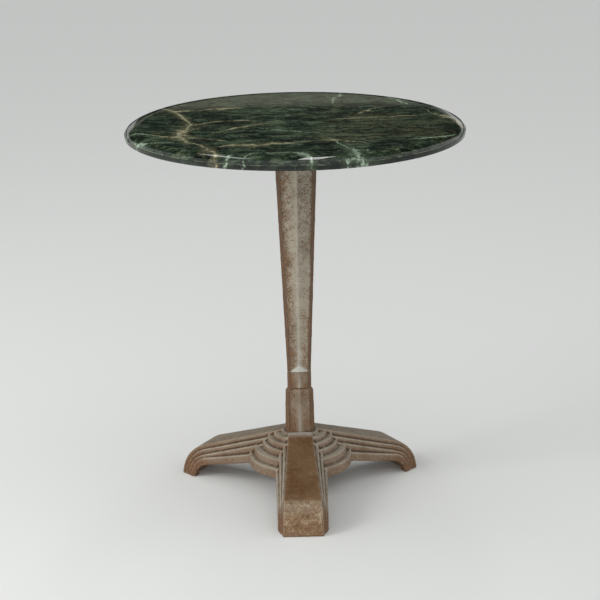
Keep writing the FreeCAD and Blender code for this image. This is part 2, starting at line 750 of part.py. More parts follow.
def all_parts():
    """Build every sub-part of the table."""
    well_floor = f"{BRACKET_TOP} - well_depth"
    return [
        marble_top(),
        marble_inserts(),
        spider(),
        spider_screws(),
        spider_pads(),
        column(),
        collar(),
        sleeve(),
        tripod_base(),
        tie_rod(),
        washer("top_washer", well_floor),
        nut("top_nut", f"{well_floor} + washer_thickness"),
        washer("bottom_washer", "boss_low - washer_thickness"),
        nut("bottom_nut", "boss_low - washer_thickness - nut_height"),
    ]


def check_and_write(parts):
    """Stop if anything failed, then write one STEP file for each sub-part."""
    for item in doc.Objects:
        if "Invalid" in item.State or "Error" in item.State:
            raise RuntimeError(f"{item.Name} failed: {item.State}")
    os.makedirs("parts", exist_ok=True)
    for part in parts:
        if part.Shape.isNull() or not part.Shape.isValid():
            raise RuntimeError(f"{part.Label} has no valid shape")
        part.Shape.exportStep(f"parts/{part.Label}.step")
        solids = len(part.Shape.Solids)
        print(f"{part.Label}: {solids} solid(s), {part.Shape.Volume / 1000:.1f} cm3")


fill_sheet()
sub_parts = all_parts()
doc.recompute()
check_and_write(sub_parts)
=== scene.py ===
import bmesh
import bpy
import math
import numpy as np
from mathutils import Matrix, Vector, noise


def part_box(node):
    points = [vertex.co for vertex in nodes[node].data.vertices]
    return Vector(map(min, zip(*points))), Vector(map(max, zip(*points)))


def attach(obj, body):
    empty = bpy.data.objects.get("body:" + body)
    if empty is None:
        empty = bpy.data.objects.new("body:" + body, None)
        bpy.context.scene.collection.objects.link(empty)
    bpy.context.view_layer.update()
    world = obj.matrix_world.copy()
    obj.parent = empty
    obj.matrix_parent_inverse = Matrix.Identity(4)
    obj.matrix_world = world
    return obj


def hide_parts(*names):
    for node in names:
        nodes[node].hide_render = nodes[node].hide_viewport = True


# The looks of a bistro table: a polished green marble top, cast-iron column and tripod base.
# Metres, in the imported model's frame: +Z up, floor at zero, one leg along -Y.

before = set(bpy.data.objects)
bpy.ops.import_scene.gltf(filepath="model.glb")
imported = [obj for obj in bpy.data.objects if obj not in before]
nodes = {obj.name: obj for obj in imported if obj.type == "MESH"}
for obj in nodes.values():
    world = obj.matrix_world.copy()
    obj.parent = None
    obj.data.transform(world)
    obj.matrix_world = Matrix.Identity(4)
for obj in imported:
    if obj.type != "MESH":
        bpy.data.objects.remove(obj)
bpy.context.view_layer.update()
scene = bpy.context.scene


# ---- node helpers --------------------------------------------------------------------

class Nodes:
    """A short way to write a material's node tree."""

    def __init__(self, tree):
        self.tree = tree

    def add(self, kind, inputs=None, **settings):
        """Add a node; inputs are numbers, colours or sockets to link."""
        node = self.tree.nodes.new(kind)
        for name, value in settings.items():
            setattr(node, name, value)
        for name, value in (inputs or {}).items():
            self.feed(node.inputs[name], value)
        return node

    def feed(self, socket, value):
        """Set a socket to a value, or link another node's output to it."""
        if isinstance(value, bpy.types.NodeSocket):
            self.tree.links.new(value, socket)
        else:
            socket.default_value = value

    def place(self):
        """Return the object's own coordinates, in metres."""
        return self.add("ShaderNodeTexCoord").outputs["Object"]

    def attribute(self, name):
        """Return a number kept at each vertex of the mesh."""
        return self.add("ShaderNodeAttribute", attribute_name=name).outputs["Fac"]

    def maths(self, operation, first, second=0.0, third=0.0):
        """Return the result of one sum."""
        node = self.add("ShaderNodeMath", operation=operation)
        for socket, value in zip(node.inputs, (first, second, third)):
            self.feed(socket, value)
        return node.outputs[0]

    def times(self, first, second):
        """Return a product."""
        return self.maths("MULTIPLY", first, second)

    def axes(self, vector):
        """Return a vector's X, Y and Z."""
        return self.add("ShaderNodeSeparateXYZ", {0: vector}).outputs

    def reach(self, vector):
        """Return the length of a vector's X and Y part."""
        flat = self.add("ShaderNodeVectorMath", {0: vector, 1: (1, 1, 0)}, operation="MULTIPLY")
        length = self.add("ShaderNodeVectorMath", {0: flat.outputs[0]}, operation="LENGTH")
        return length.outputs["Value"]

    def stretched(self, vector, scale, offset=(0, 0, 0)):
        """Return coordinates scaled and moved."""
        mapping = self.add(
            "ShaderNodeMapping", {"Vector": vector, "Scale": scale, "Location": offset})
        return mapping.outputs[0]

    def clouds(self, vector, scale, detail, roughness=0.55):
        """Return fractal noise from 0 to 1."""
        return self.add("ShaderNodeTexNoise", {
            "Vector": vector, "Scale": scale, "Detail": detail, "Roughness": roughness,
        }).outputs[0]

    def bent(self, vector, scale, amount):
        """Return coordinates pushed about by noise."""
        push = self.add("ShaderNodeTexNoise", {
            "Vector": vector, "Scale": scale, "Detail": 3.0, "Roughness": 0.6})
        centred = self.add(
            "ShaderNodeVectorMath", {0: push.outputs[1], 1: (0.5, 0.5, 0.5)}, operation="SUBTRACT")
        scaled = self.add(
            "ShaderNodeVectorMath", {0: centred.outputs[0], "Scale": amount}, operation="SCALE")
        return self.add("ShaderNodeVectorMath", {0: vector, 1: scaled.outputs[0]}).outputs[0]

    def threads(self, vector, scale, width):
        """Return thin broken lines where a cloud passes through its middle value."""
        cloud = self.clouds(vector, scale, 5, 0.62)
        off = self.maths("ABSOLUTE", self.maths("SUBTRACT", cloud, 0.5))
        return self.between(off, width, 0.0)

    def ramp(self, value, stops):
        """Return a colour that follows stops of (place, colour)."""
        node = self.add("ShaderNodeValToRGB", {"Fac": value})
        elements = node.color_ramp.elements
        while len(elements) < len(stops):
            elements.new(0.5)
        for element, (place, colour) in zip(elements, stops):
            element.position = place
            element.color = (*colour, 1)
        return node.outputs[0]

    def between(self, value, low, high):
        """Return how far value is from low to high, from 0 to 1, eased at both ends."""
        return self.add("ShaderNodeMapRange", {
            "Value": value, "From Min": low, "From Max": high,
        }, interpolation_type="SMOOTHSTEP").outputs[0]

    def mixed(self, share, first, second, blend="MIX"):
        """Return a mix of two colours."""
        node = self.add("ShaderNodeMix", data_type="RGBA", blend_type=blend)
        self.feed(node.inputs[0], share)
        for socket, value in ((node.inputs[6], first), (node.inputs[7], second)):
            if not isinstance(value, bpy.types.NodeSocket):
                value = (*value, 1)
            self.feed(socket, value)
        return node.outputs[2]

    def bump(self, height, distance, strength):
        """Return a bumped normal."""
        return self.add("ShaderNodeBump", {
            "Height": height, "Distance": distance, "Strength": strength,
        }).outputs[0]


def new_material(name):
    """Make a material and return it with its nodes and its shader."""
    material = bpy.data.materials.new(name)
    material.use_nodes = True
    shader = material.node_tree.nodes["Principled BSDF"]
    return material, Nodes(material.node_tree), shader


# ---- mesh helpers --------------------------------------------------------------------

def smooth_between(value, low, high):
    """Return how far values are from low to high, from 0 to 1, eased at both ends."""
    share = np.clip((value - low) / (high - low), 0, 1)
    return share * share * (3 - 2 * share)


def corner_array(mesh):
    """Return the vertices' places."""
    places = np.empty(len(mesh.vertices) * 3, np.float32)
    mesh.vertices.foreach_get("co", places)
    return places.reshape(-1, 3).astype(float)


def normal_array(mesh):
    """Return the vertices' normals."""
    normals = np.empty(len(mesh.vertices) * 3, np.float32)
    mesh.vertex_normals.foreach_get("vector", normals)
    return normals.reshape(-1, 3).astype(float)


def keep_at_vertices(mesh, name, values):
    """Store one number for each vertex."""
    layer = mesh.attributes.new(name, "FLOAT", "POINT")
    layer.data.foreach_set("value", np.asarray(values, np.float32))


class Neighbours:
    """The means of what lies at the ends of a mesh's edges."""

    def __init__(self, mesh):
        ends = np.empty(len(mesh.edges) * 2, np.int64)
        mesh.edges.foreach_get("vertices", ends)
        self.first, self.second = ends.reshape(-1, 2).T
        self.count = np.bincount(ends, minlength=len(mesh.vertices)).clip(1)

    def mean(self, values):
        """Return the mean over each vertex's neighbours."""
        size = len(self.count)
        total = np.bincount(self.first, values[self.second], size)
        return (total + np.bincount(self.second, values[self.first], size)) / self.count

    def spread(self, values, times):
        """Blur values along the surface."""
        for _ in range(times):
            values = (values + self.mean(values)) / 2
        return values


NOISE_FALL = 0.9
NOISE_STEP = 2.1
NOISE_OCTAVES = 2


def rough_noise(places, scale):
    """Return fractal noise, about -1 to 1, at each place."""
    return np.array([
        noise.fractal(Vector(place), NOISE_FALL, NOISE_STEP, NOISE_OCTAVES)
        for place in places * scale])


# ---- iron ----------------------------------------------------------------------------

# The castings' meshes: voxel sizes, smoothing, and the height and scale of the cast skin.
COLUMN_VOXEL = 0.00145
SMALL_VOXEL = 0.0012
BASE_VOXEL = 0.0019
SMOOTHING_ROUNDS = 2
MERGE_DISTANCE = 1e-6
SKIN_GRAIN = 0.00008
SKIN_GRAIN_SCALE = 420
SKIN_WAVE = 0.00015
SKIN_WAVE_SCALE = 34
SKIN_WAVE_SHIFT = 3.1

# How strongly the surface's bend shows as a worn edge or as a crevice.
EDGE_GAIN = 5
CREVICE_GAIN = 6
BEND_BLUR = 2


def remeshed(node, voxel):
    """Return a copy of a CAD node's mesh with even faces and softly rounded edges."""
    form = bmesh.new()
    form.from_mesh(nodes[node].data)
    bmesh.ops.remove_doubles(form, verts=form.verts, dist=MERGE_DISTANCE)
    rough = bpy.data.meshes.new(f"{node}_rough")
    form.to_mesh(rough)
    form.free()
    piece = bpy.data.objects.new(f"{node}_rough", rough)
    scene.collection.objects.link(piece)
    remesh = piece.modifiers.new("remesh", "REMESH")
    remesh.mode = "VOXEL"
    remesh.voxel_size = voxel
    smooth = piece.modifiers.new("smooth", "SMOOTH")
    smooth.iterations = SMOOTHING_ROUNDS
    smooth.factor = 0.5
    depsgraph = bpy.context.evaluated_depsgraph_get()
    mesh = bpy.data.meshes.new_from_object(piece.evaluated_get(depsgraph))
    bpy.data.objects.remove(piece)
    mesh.name = f"{node}_cast"
    return mesh


LEG_TURNS = [math.radians(angle) for angle in (-90, 30, 150)]


def by_side(places):
    """Return each vertex's reach out along its own side of the table, and its way across it."""
    reaches = np.stack([places[:, 0] * math.cos(a) + places[:, 1] * math.sin(a) for a in LEG_TURNS])
    across = np.stack([places[:, 1] * math.cos(a) - places[:, 0] * math.sin(a) for a in LEG_TURNS])
    side = reaches.argmax(0)
    rows = np.arange(len(places))
    return reaches[side, rows], across[side, rows], side


def facing_side(normals, side):
    """Return how squarely each vertex faces out of its own side, from -1 to 1."""
    outward = np.array([(math.cos(a), math.sin(a)) for a in LEG_TURNS])[side]
    return (normals[:, :2] * outward).sum(1)


def cast_piece(node, voxel, paint):
    """Make the cast-iron piece that stands for a CAD node, with worn edges and a cast skin."""
    mesh = remeshed(node, voxel)
    near = Neighbours(mesh)
    places = corner_array(mesh)
    normals = normal_array(mesh)
    hollow = np.stack([near.mean(places[:, axis]) for axis in range(3)], 1) - places
    bend = near.spread(-(hollow * normals).sum(1) / voxel, BEND_BLUR)
    keep_at_vertices(mesh, "edge", np.clip(bend * EDGE_GAIN, 0, 1))
    keep_at_vertices(mesh, "crevice", np.clip(-bend * CREVICE_GAIN, 0, 1))
    for name, values in paint(places, normals).items():
        keep_at_vertices(mesh, name, values)
    grain = rough_noise(places, SKIN_GRAIN_SCALE)
    wave = rough_noise(places + SKIN_WAVE_SHIFT, SKIN_WAVE_SCALE)
    places += normals * (SKIN_GRAIN * grain + SKIN_WAVE * wave)[:, None]
    places[:, 2] = places[:, 2].clip(0)
    mesh.vertices.foreach_set("co", places.astype(np.float32).ravel())
    mesh.update()
    mesh.shade_smooth()
    mesh.materials.clear()
    piece = bpy.data.objects.new(f"{node}_cast", mesh)
    scene.collection.objects.link(piece)
    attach(piece, "root")
    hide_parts(node)
    return piece


SEAM_HALF = 0.0017
SEAM_PLACE = 0.97
RIDGE_CORE = 0.001
RIDGE_HALF = 0.0034
LEVELS = 24
LEAST_HALF = 0.001


def half_widths(level, across, broad):
    """Return half the width of the shaft's broad face at each vertex's level."""
    steps = np.linspace(0, 1, LEVELS + 1)
    bands = np.digitize(level[broad], steps)
    widest = [
        np.abs(across[broad][bands == band]).max(initial=LEAST_HALF)
        for band in range(1, LEVELS + 1)]
    return np.interp(level, (steps[1:] + steps[:-1]) / 2, widest)


def shaft_paint(rust_left, rust_right, brown_all, ridge_pale, seam_share, painted_shade_share):
    """Return a function that paints a faceted shaft: rusty edges, brown corners, a pale ridge, and
    painted shade on each broad face's right half and left rim and on the narrow faces.
    """
    def paint(places, normals):
        _, across, side = by_side(places)
        level = (places[:, 2] - places[:, 2].min()) / np.ptp(places[:, 2])
        facing = facing_side(normals, side)
        half = half_widths(level, across, facing > 0.9)
        share = across / half
        wide = smooth_between(facing, 0.75, 0.92)
        narrow = 1 - wide
        low = 1 - smooth_between(level, 0.1, 0.75)
        upper = smooth_between(level, 0.5, 0.9)
        left = smooth_between(-share, -0.15, 1.05)
        right = smooth_between(share, 0.78, 1.0)
        left_edge = smooth_between(-share, 0.6, 1.0)
        left_rim = smooth_between(-share, 0.8, 0.95)
        both = smooth_between(np.abs(share), 0.1, 0.55)
        right_half = wide * smooth_between(share, 0.0, 0.06) * (1 - 0.9 * low)
        stain = wide * (rust_left * left * (1 - 0.5 * low) + rust_right * right + 0.5 * low * both)
        stain += right_half * (0.2 + 0.25 * upper) + 0.1 * wide * upper + 0.9 * narrow
        brown = wide * (brown_all + 0.35 * left_edge + 0.3 * low * both) + 0.95 * narrow
        # Painted shade: the right half of each broad face, the narrow faces and each broad face's left
        # rim are darkened as if lit from the left.
        painted_shade = np.maximum.reduce([0.55 * right_half, 0.6 * narrow, 0.5 * wide * left_rim])
        ridge = 1 - smooth_between(np.abs(across), RIDGE_CORE, RIDGE_HALF)
        off_seam = np.abs(np.abs(share) - SEAM_PLACE) * half
        return {
            "stain": stain,
            "brown": brown.clip(0, 1),
            "pale": wide * ridge * ridge_pale * (0.3 + 0.7 * low),
            "seam": (1 - smooth_between(off_seam, SEAM_HALF * 0.4, SEAM_HALF)) * seam_share,
            "painted_shade": painted_shade * painted_shade_share,
        }
    return paint


# The tongues over the collar: their height, their half width and the strength of their painted
# highlight.
TONGUE_HEIGHT = 0.0145
TONGUE_HALF = 0.019
TONGUE_HIGHLIGHT = 0.6


def column_paint(places, normals):
    """Paint the column like the other shafts, with a painted highlight on the upward-facing tongues
    over the collar.
    """
    plain_paint = shaft_paint(
        rust_left=0.78, rust_right=0.75, brown_all=0.0, ridge_pale=0.3, seam_share=0.35, painted_shade_share=1.0)
    painted = plain_paint(places, normals)
    _, across, side = by_side(places)
    rise = (places[:, 2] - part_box("collar")[1].z) / TONGUE_HEIGHT
    inside = 1 - rise - np.abs(across) / TONGUE_HALF
    # Painted highlight: the tongues are painted whitish where their upward faces catch the light.
    tongue_highlight = TONGUE_HIGHLIGHT * smooth_between(inside, -0.1, 0.1) * (rise > -0.05)
    tongue_highlight *= smooth_between(facing_side(normals, side), 0.7, 0.85)
    painted["pale"] = np.maximum(painted["pale"], tongue_highlight)
    painted["stain"] *= 1 - tongue_highlight
    painted["brown"] *= 1 - tongue_highlight
    return painted


CORE_HALF_AXIS = 0.0207
CORE_HALF_TOE = 0.0366
TOE_REACH = 0.2385
LEG_START = 0.0225

# Where each zone of a leg starts and is full, by reach from the axis or by height.
NOSE_ZONE = (0.025, 0.044)
OUTER_ZONE = (0.14, 0.23)
TOE_ZONE = (0.204, 0.214)
BEND_START = (0.209, 0.216)
BEND_END = (0.218, 0.23)
LOW_ZONE = (0.015, 0.045)


def base_paint(places, normals):
    """Paint the legs' broad tops brown, the toes mottled, and rust what faces down, with painted
    highlights at the noses and toe bends, treads painted lighter as if lit from above, and the side
    legs' tops painted paler as a painted sheen.
    """
    reach, across, side = by_side(places)
    half = CORE_HALF_AXIS + (CORE_HALF_TOE - CORE_HALF_AXIS) * reach / TOE_REACH
    inside = smooth_between(half - np.abs(across), -0.0005, 0.0015)
    upward = smooth_between(normals[:, 2] + 0.3, 0.1, 0.5)
    top = inside * upward * (reach > LEG_START)
    toe = smooth_between(reach, *TOE_ZONE) * inside
    # Painted highlight where the top bends down into the toe.
    bend = smooth_between(reach, *BEND_START) * (1 - smooth_between(reach, *BEND_END)) * inside
    # Painted highlight on the nose by the hub, strongest on the front leg.
    nose_highlight = (1 - smooth_between(reach, *NOSE_ZONE)) * inside * np.where(side == 0, 1, 0.3)
    outer = smooth_between(reach, *OUTER_ZONE)
    low = 1 - smooth_between(places[:, 2], *LOW_ZONE)
    down = smooth_between(-normals[:, 2], 0.02, 0.4)
    # Painted light: upward faces off the tops are painted lighter, less brown and less rusty, as if
    # lit from above.
    tread_painted_light = smooth_between(normals[:, 2], 0.25, 0.75) * (1 - top)
    # The brown is lifted under the nose highlight, and the side legs' tops are painted paler as a
    # painted sheen.
    brown = top * (1 - toe) * (1 - 0.6 * nose_highlight) * np.where(side == 0, 1, 0.45)
    brown += (1 - top) * (0.65 + 0.25 * outer + 0.35 * low - 0.7 * tread_painted_light + 0.35 * down)
    stain = 0.4 + 0.3 * outer + 0.8 * down + 0.3 * low - 0.35 * tread_painted_light
    stain *= 1 - 0.85 * top * (1 - 0.7 * toe)
    return {
        "stain": stain,
        "brown": brown.clip(0, 1),
        "tan": toe,
        # Here the pale share is all painted highlight: on the noses and the toe bends.
        "pale": np.maximum(0.4 * nose_highlight, 0.1 * bend),
    }


RUST_DARK = (0.058, 0.026, 0.011)
RUST = (0.140, 0.062, 0.024)
RUST_LIGHT = (0.265, 0.120, 0.042)
IRON_LIGHT = (0.440, 0.392, 0.308)
IRON_MID = (0.265, 0.228, 0.168)
IRON_BROWN = (0.138, 0.066, 0.027)
IRON_TAN = (0.250, 0.170, 0.092)
IRON_GOLD = (0.330, 0.225, 0.120)
IRON_PALE_WEAR_AND_HIGHLIGHT = (0.620, 0.630, 0.590)
GRIME = (0.066, 0.034, 0.016)
# The tint multiplied in as painted shade on the shafts.
PAINTED_SHADE_TINT = (0.580, 0.600, 0.620)

# Noise scales of the iron's marks, from broad to fine.
PATCH_SCALE = 18
TONE_SCALE = 46
BLOTCH_SCALE = 85
SCUFF_SCALE = 120
MOTTLE_SCALE = 130
TINT_SCALE = 260
SPECK_SCALE = 540
GRAIN_SCALE = 900
SCRATCH_SCALE = 46
SCRATCH_WIDTH = 0.006

# What the rust grows from, and where it starts and is full.
SPECK_SHARE = 0.6
MOTTLE_SHARE = 0.4
PATCH_SHARE = 0.25
CREVICE_SHARE = 0.08
STAIN_SHARE = 0.17
RUST_START = 0.705
RUST_FULL = 0.76
RUST_COVER = 0.85
CREVICE_START = 0.13
CREVICE_FULL = 0.42
PIT_DEPTH = 0.0005


def rust_growth(n, specks, mottle, patches, crevice):
    """Return how rusty each place is: specks that gather in stains and crevices."""
    growth = n.times(specks, SPECK_SHARE)
    growth = n.maths("MULTIPLY_ADD", mottle, MOTTLE_SHARE, growth)
    growth = n.maths("MULTIPLY_ADD", patches, PATCH_SHARE, growth)
    growth = n.maths("MULTIPLY_ADD", crevice, CREVICE_SHARE, growth)
    return n.maths("MULTIPLY_ADD", n.attribute("stain"), STAIN_SHARE, growth)


def bare_iron(n, place, patches, mottle, grain):
    """Return the colour of iron with no rust: grey, brown where painted so, blotched at the toes."""
    grey = n.mixed(n.between(patches, 0.38, 0.66), IRON_LIGHT, IRON_MID)
    grey = n.mixed(n.between(n.clouds(place, TONE_SCALE, 6, 0.62), 0.4, 0.7), grey, IRON_LIGHT)
    grey = n.mixed(n.times(n.between(grain, 0.45, 0.7), 0.35), grey, IRON_BROWN)
    brown = n.mixed(n.between(mottle, 0.4, 0.95), IRON_BROWN, IRON_TAN)
    brown = n.mixed(n.times(n.between(patches, 0.44, 0.64), 0.35), brown, IRON_TAN)
    scuffed = n.clouds(n.stretched(n.bent(place, 30, 0.01), (1.0, 0.35, 1.0)), SCUFF_SCALE, 4, 0.7)
    brown = n.mixed(n.times(n.between(scuffed, 0.64, 0.74), 0.3), brown, IRON_LIGHT)
    lines = n.threads(n.stretched(place, (0.3, 1.0, 1.0)), SCRATCH_SCALE, SCRATCH_WIDTH)
    scratches = n.times(lines, n.between(n.clouds(place, 22, 3, 0.6), 0.5, 0.62))
    brown = n.mixed(n.times(scratches, 0.4), brown, IRON_LIGHT)
    blotch = n.clouds(n.bent(place, 50, 0.012), BLOTCH_SCALE, 6, 0.75)
    blotched = n.ramp(blotch, [
        (0.36, IRON_BROWN), (0.46, IRON_TAN), (0.54, IRON_GOLD), (0.68, IRON_LIGHT)])
    return n.mixed(n.attribute("tan"), n.mixed(n.attribute("brown"), grey, brown), blotched)


def iron_material(name):
    """Bare cast iron: grey where it is rubbed, brown where it is not, with specks of rust, painted
    highlights and painted shade.
    """
    material, n, shader = new_material(name)
    place = n.place()
    patches = n.clouds(place, PATCH_SCALE, 5, 0.6)
    mottle = n.clouds(n.bent(place, 70, 0.006), MOTTLE_SCALE, 5, 0.65)
    specks = n.clouds(place, SPECK_SCALE, 2, 0.6)
    grain = n.clouds(place, GRAIN_SCALE, 2, 0.6)
    crevice = n.between(n.attribute("crevice"), CREVICE_START, CREVICE_FULL)
    crevice = n.maths("MAXIMUM", crevice, n.attribute("seam"))
    growth = rust_growth(n, specks, mottle, patches, crevice)
    rust = n.between(growth, RUST_START, RUST_FULL)
    rust_colour = n.ramp(n.clouds(place, TINT_SCALE, 4, 0.7), [
        (0.32, RUST_DARK), (0.5, RUST), (0.68, RUST_LIGHT)])
    colour = bare_iron(n, place, patches, mottle, grain)
    colour = n.mixed(n.times(rust, RUST_COVER), colour, rust_colour)
    # The pale attribute is worn pale ridges on the shafts and painted highlights on the column's
    # tongues and the legs' noses and toe bends.
    pale = n.times(n.attribute("pale"), n.between(mottle, 0.25, 0.52))
    colour = n.mixed(pale, colour, IRON_PALE_WEAR_AND_HIGHLIGHT)
    worn = n.times(n.attribute("edge"), n.between(mottle, 0.36, 0.58))
    colour = n.mixed(n.times(worn, 0.5), colour, IRON_LIGHT)
    grime = n.times(crevice, n.between(mottle, 0.15, 0.4))
    colour = n.mixed(n.times(grime, 0.92), colour, GRIME)
    # Painted shade on the shafts, multiplied in from the attribute that shaft_paint fills.
    colour = n.mixed(n.attribute("painted_shade"), colour, PAINTED_SHADE_TINT, blend="MULTIPLY")
    n.feed(shader.inputs["Base Color"], colour)
    metal = n.between(growth, 0.76, 0.68)
    n.feed(shader.inputs["Metallic"], n.times(metal, 0.2))
    rough = n.maths("MULTIPLY_ADD", rust, 0.25, 0.38)
    n.feed(shader.inputs["Roughness"], n.maths("MULTIPLY_ADD", mottle, 0.2, rough))
    height = n.maths("MULTIPLY_ADD", specks, 0.4, n.times(mottle, 0.6))
    n.feed(shader.inputs["Normal"], n.bump(height, PIT_DEPTH, 0.45))
    return material


# ---- marble --------------------------------------------------------------------------

# The slab's edge: a long bow and a tight one, a small ledge and an upright band.
TOP_FACE_RADIUS = 0.287
RIM_BAND = 0.008
RIM_ROUNDING = 0.002
RIM_LEDGE = 0.0012
BOW_INNER = 0.043
BOW_OUTER = 0.0134
BOW_TURN_IN = 0.007
BOW_TURN_DOWN = 0.0044
BAND_MARGIN = 0.002
TOP_RINGS = 23
UNDER_RINGS = 11
BOW_POINTS = 9
TURNS = 288
SHARP_FROM = 28
ON_AXIS = 1e-6


def arc_points(start, end, radius, count):
    """Return points on an arc from start to end that bulges outwards."""
    start, end = np.array(start), np.array(end)
    chord = end - start
    length = np.hypot(*chord)
    across = np.array([chord[1], -chord[0]]) / length
    centre = (start + end) / 2 + across * math.sqrt(radius ** 2 - (length / 2) ** 2)
    first = math.atan2(*(start - centre)[::-1])
    turn = -2 * math.asin(length / 2 / radius)
    angles = first + turn * np.linspace(0, 1, count)
    return [tuple(centre + radius * np.array([math.cos(a), math.sin(a)])) for a in angles]


def marble_outline():
    """Return the slab's outline from the top's centre round the rim to the underside's centre."""
    low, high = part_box("marble_top")
    top, under, radius = high.z, low.z, high.x
    band_top = under + RIM_BAND
    turn = (radius - BOW_TURN_IN, top - BOW_TURN_DOWN)
    ledge_start = (radius - RIM_LEDGE, band_top + RIM_LEDGE)
    outline = [(r, top) for r in np.linspace(0, TOP_FACE_RADIUS, TOP_RINGS + 1)[:-1]]
    outline += arc_points((TOP_FACE_RADIUS, top), turn, BOW_INNER, BOW_POINTS)
    outline += arc_points(turn, ledge_start, BOW_OUTER, BOW_POINTS)[1:]
    outline += arc_points((radius, band_top), ledge_start, RIM_LEDGE, 4)[::-1][1:]
    outline += [(radius, band_top - BAND_MARGIN), (radius, under + RIM_ROUNDING + BAND_MARGIN)]
    outline += arc_points(
        (radius, under + RIM_ROUNDING), (radius - RIM_ROUNDING, under), RIM_ROUNDING, 5)
    outline += [(r, under) for r in np.linspace(radius - RIM_ROUNDING, 0, UNDER_RINGS + 1)[1:]]
    return outline


def turned_mesh(name, outline, turns):
    """Turn an outline round the axis; its first and last points lie on the axis."""
    form = bmesh.new()
    rings = []
    for r, z in outline:
        if r < ON_AXIS:
            rings.append([form.verts.new((0, 0, z))])
            continue
        angles = np.arange(turns) * 2 * math.pi / turns
        rings.append([form.verts.new((r * math.cos(a), r * math.sin(a), z)) for a in angles])
    for upper, lower in zip(rings, rings[1:]):
        for i in range(turns):
            j = (i + 1) % turns
            if len(upper) == 1:
                form.faces.new((upper[0], lower[i], lower[j]))
            elif len(lower) == 1:
                form.faces.new((upper[i], lower[0], upper[j]))
            else:
                form.faces.new((upper[i], lower[i], lower[j], upper[j]))
    mesh = bpy.data.meshes.new(name)
    form.to_mesh(mesh)
    form.free()
    return mesh


INSERT_CIRCLE = 0.132
INSERT_RADIUS = 0.005
INSERT_DEPTH = 0.011
INSERT_SIDES = 32


def hole_cutter(low):
    """Return an object that cuts the inserts' holes into the underside, at height low."""
    form = bmesh.new()
    for angle in LEG_TURNS:
        middle = (INSERT_CIRCLE * math.cos(angle), INSERT_CIRCLE * math.sin(angle), low)
        bmesh.ops.create_cone(
            form, segments=INSERT_SIDES, cap_ends=True, radius1=INSERT_RADIUS, radius2=INSERT_RADIUS,
            depth=2 * INSERT_DEPTH, matrix=Matrix.Translation(middle))
    mesh = bpy.data.meshes.new("insert_holes")
    form.to_mesh(mesh)
    form.free()
    cutter = bpy.data.objects.new("insert_holes", mesh)
    scene.collection.objects.link(cutter)
    return cutter


def marble_piece():
    """Make the slab, with the inserts' holes in its underside."""
    solid = bpy.data.objects.new("slab", turned_mesh("slab", marble_outline(), TURNS))
    scene.collection.objects.link(solid)
    cutter = hole_cutter(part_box("marble_top")[0].z)
    holes = solid.modifiers.new("holes", "BOOLEAN")
    holes.operation = "DIFFERENCE"
    holes.solver = "EXACT"
    holes.object = cutter
    depsgraph = bpy.context.evaluated_depsgraph_get()
    mesh = bpy.data.meshes.new_from_object(solid.evaluated_get(depsgraph))
    bpy.data.objects.remove(solid)
    bpy.data.objects.remove(cutter)
    mesh.name = "marble_slab"
    mesh.shade_smooth()
    mesh.set_sharp_from_angle(angle=math.radians(SHARP_FROM))
    piece = bpy.data.objects.new("marble_slab", mesh)
    scene.collection.objects.link(piece)
    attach(piece, "root")
    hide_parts("marble_top")
    return piece


# Veins in the marble. Each runs along X or along Y, and has its line as
# (way along, way across) and its half width as (way along, half width), all in metres.
HALF_SPAN = 0.32
WIDEST_VEIN = 0.02
THINNEST_VEIN = 0.00002
CREAM_VEINS = [
    ("y", [(-0.305, -0.132), (-0.25, -0.140), (-0.2, -0.158), (-0.146, -0.193), (-0.1, -0.203),
           (-0.047, -0.193), (0.0, -0.187), (0.04, -0.198), (0.09, -0.211), (0.14, -0.237)],
     [(-0.305, 0.0026), (-0.22, 0.004), (-0.146, 0.0032), (-0.11, 0.0075), (-0.04, 0.0065),
      (0.02, 0.0035), (0.09, 0.0035), (0.13, 0.004), (0.16, 0)]),
    ("x", [(-0.215, 0.112), (-0.169, 0.126), (-0.136, 0.138), (-0.095, 0.142)],
     [(-0.235, 0), (-0.215, 0.0025), (-0.16, 0.0042), (-0.11, 0.0055), (-0.092, 0)]),
    ("x", [(-0.18, -0.012), (-0.142, 0.014), (-0.108, 0.022), (-0.07, 0.026)],
     [(-0.185, 0), (-0.15, 0.004), (-0.12, 0.003), (-0.09, 0.0018), (-0.065, 0)]),
    ("x", [(-0.145, -0.083), (-0.108, -0.044), (-0.06, -0.008), (-0.03, 0.004)],
     [(-0.15, 0), (-0.12, 0.003), (-0.08, 0.0036), (-0.05, 0.002), (-0.03, 0)]),
    ("x", [(-0.15, -0.198), (-0.102, -0.187), (-0.06, -0.184), (-0.02, -0.177), (0.03, -0.171)],
     [(-0.155, 0), (-0.13, 0.0016), (-0.1, 0.005), (-0.045, 0.0066), (-0.025, 0.002), (0.04, 0)]),
    ("x", [(0.08, 0.026), (0.136, 0.028), (0.183, 0.033), (0.225, 0.034)],
     [(0.07, 0), (0.1, 0.0022), (0.13, 0.0034), (0.16, 0.0018), (0.2, 0.0028), (0.23, 0)]),
    ("x", [(0.105, 0.055), (0.136, 0.095), (0.175, 0.131)],
     [(0.1, 0), (0.13, 0.0018), (0.16, 0.0015), (0.18, 0)]),
    ("y", [(-0.04, 0.292), (0.01, 0.282), (0.05, 0.256), (0.1, 0.238)],
     [(-0.06, 0), (-0.02, 0.004), (0.01, 0.0045), (0.05, 0.0025), (0.1, 0)]),
    ("x", [(0.0, -0.168), (0.06, -0.158), (0.1, -0.176), (0.13, -0.196)],
     [(-0.01, 0), (0.03, 0.0022), (0.08, 0.0032), (0.11, 0.0026), (0.14, 0)]),
    ("x", [(-0.25, -0.09), (-0.2, -0.115), (-0.15, -0.13), (-0.11, -0.15)],
     [(-0.26, 0), (-0.22, 0.003), (-0.17, 0.0035), (-0.13, 0.002), (-0.1, 0)]),
]
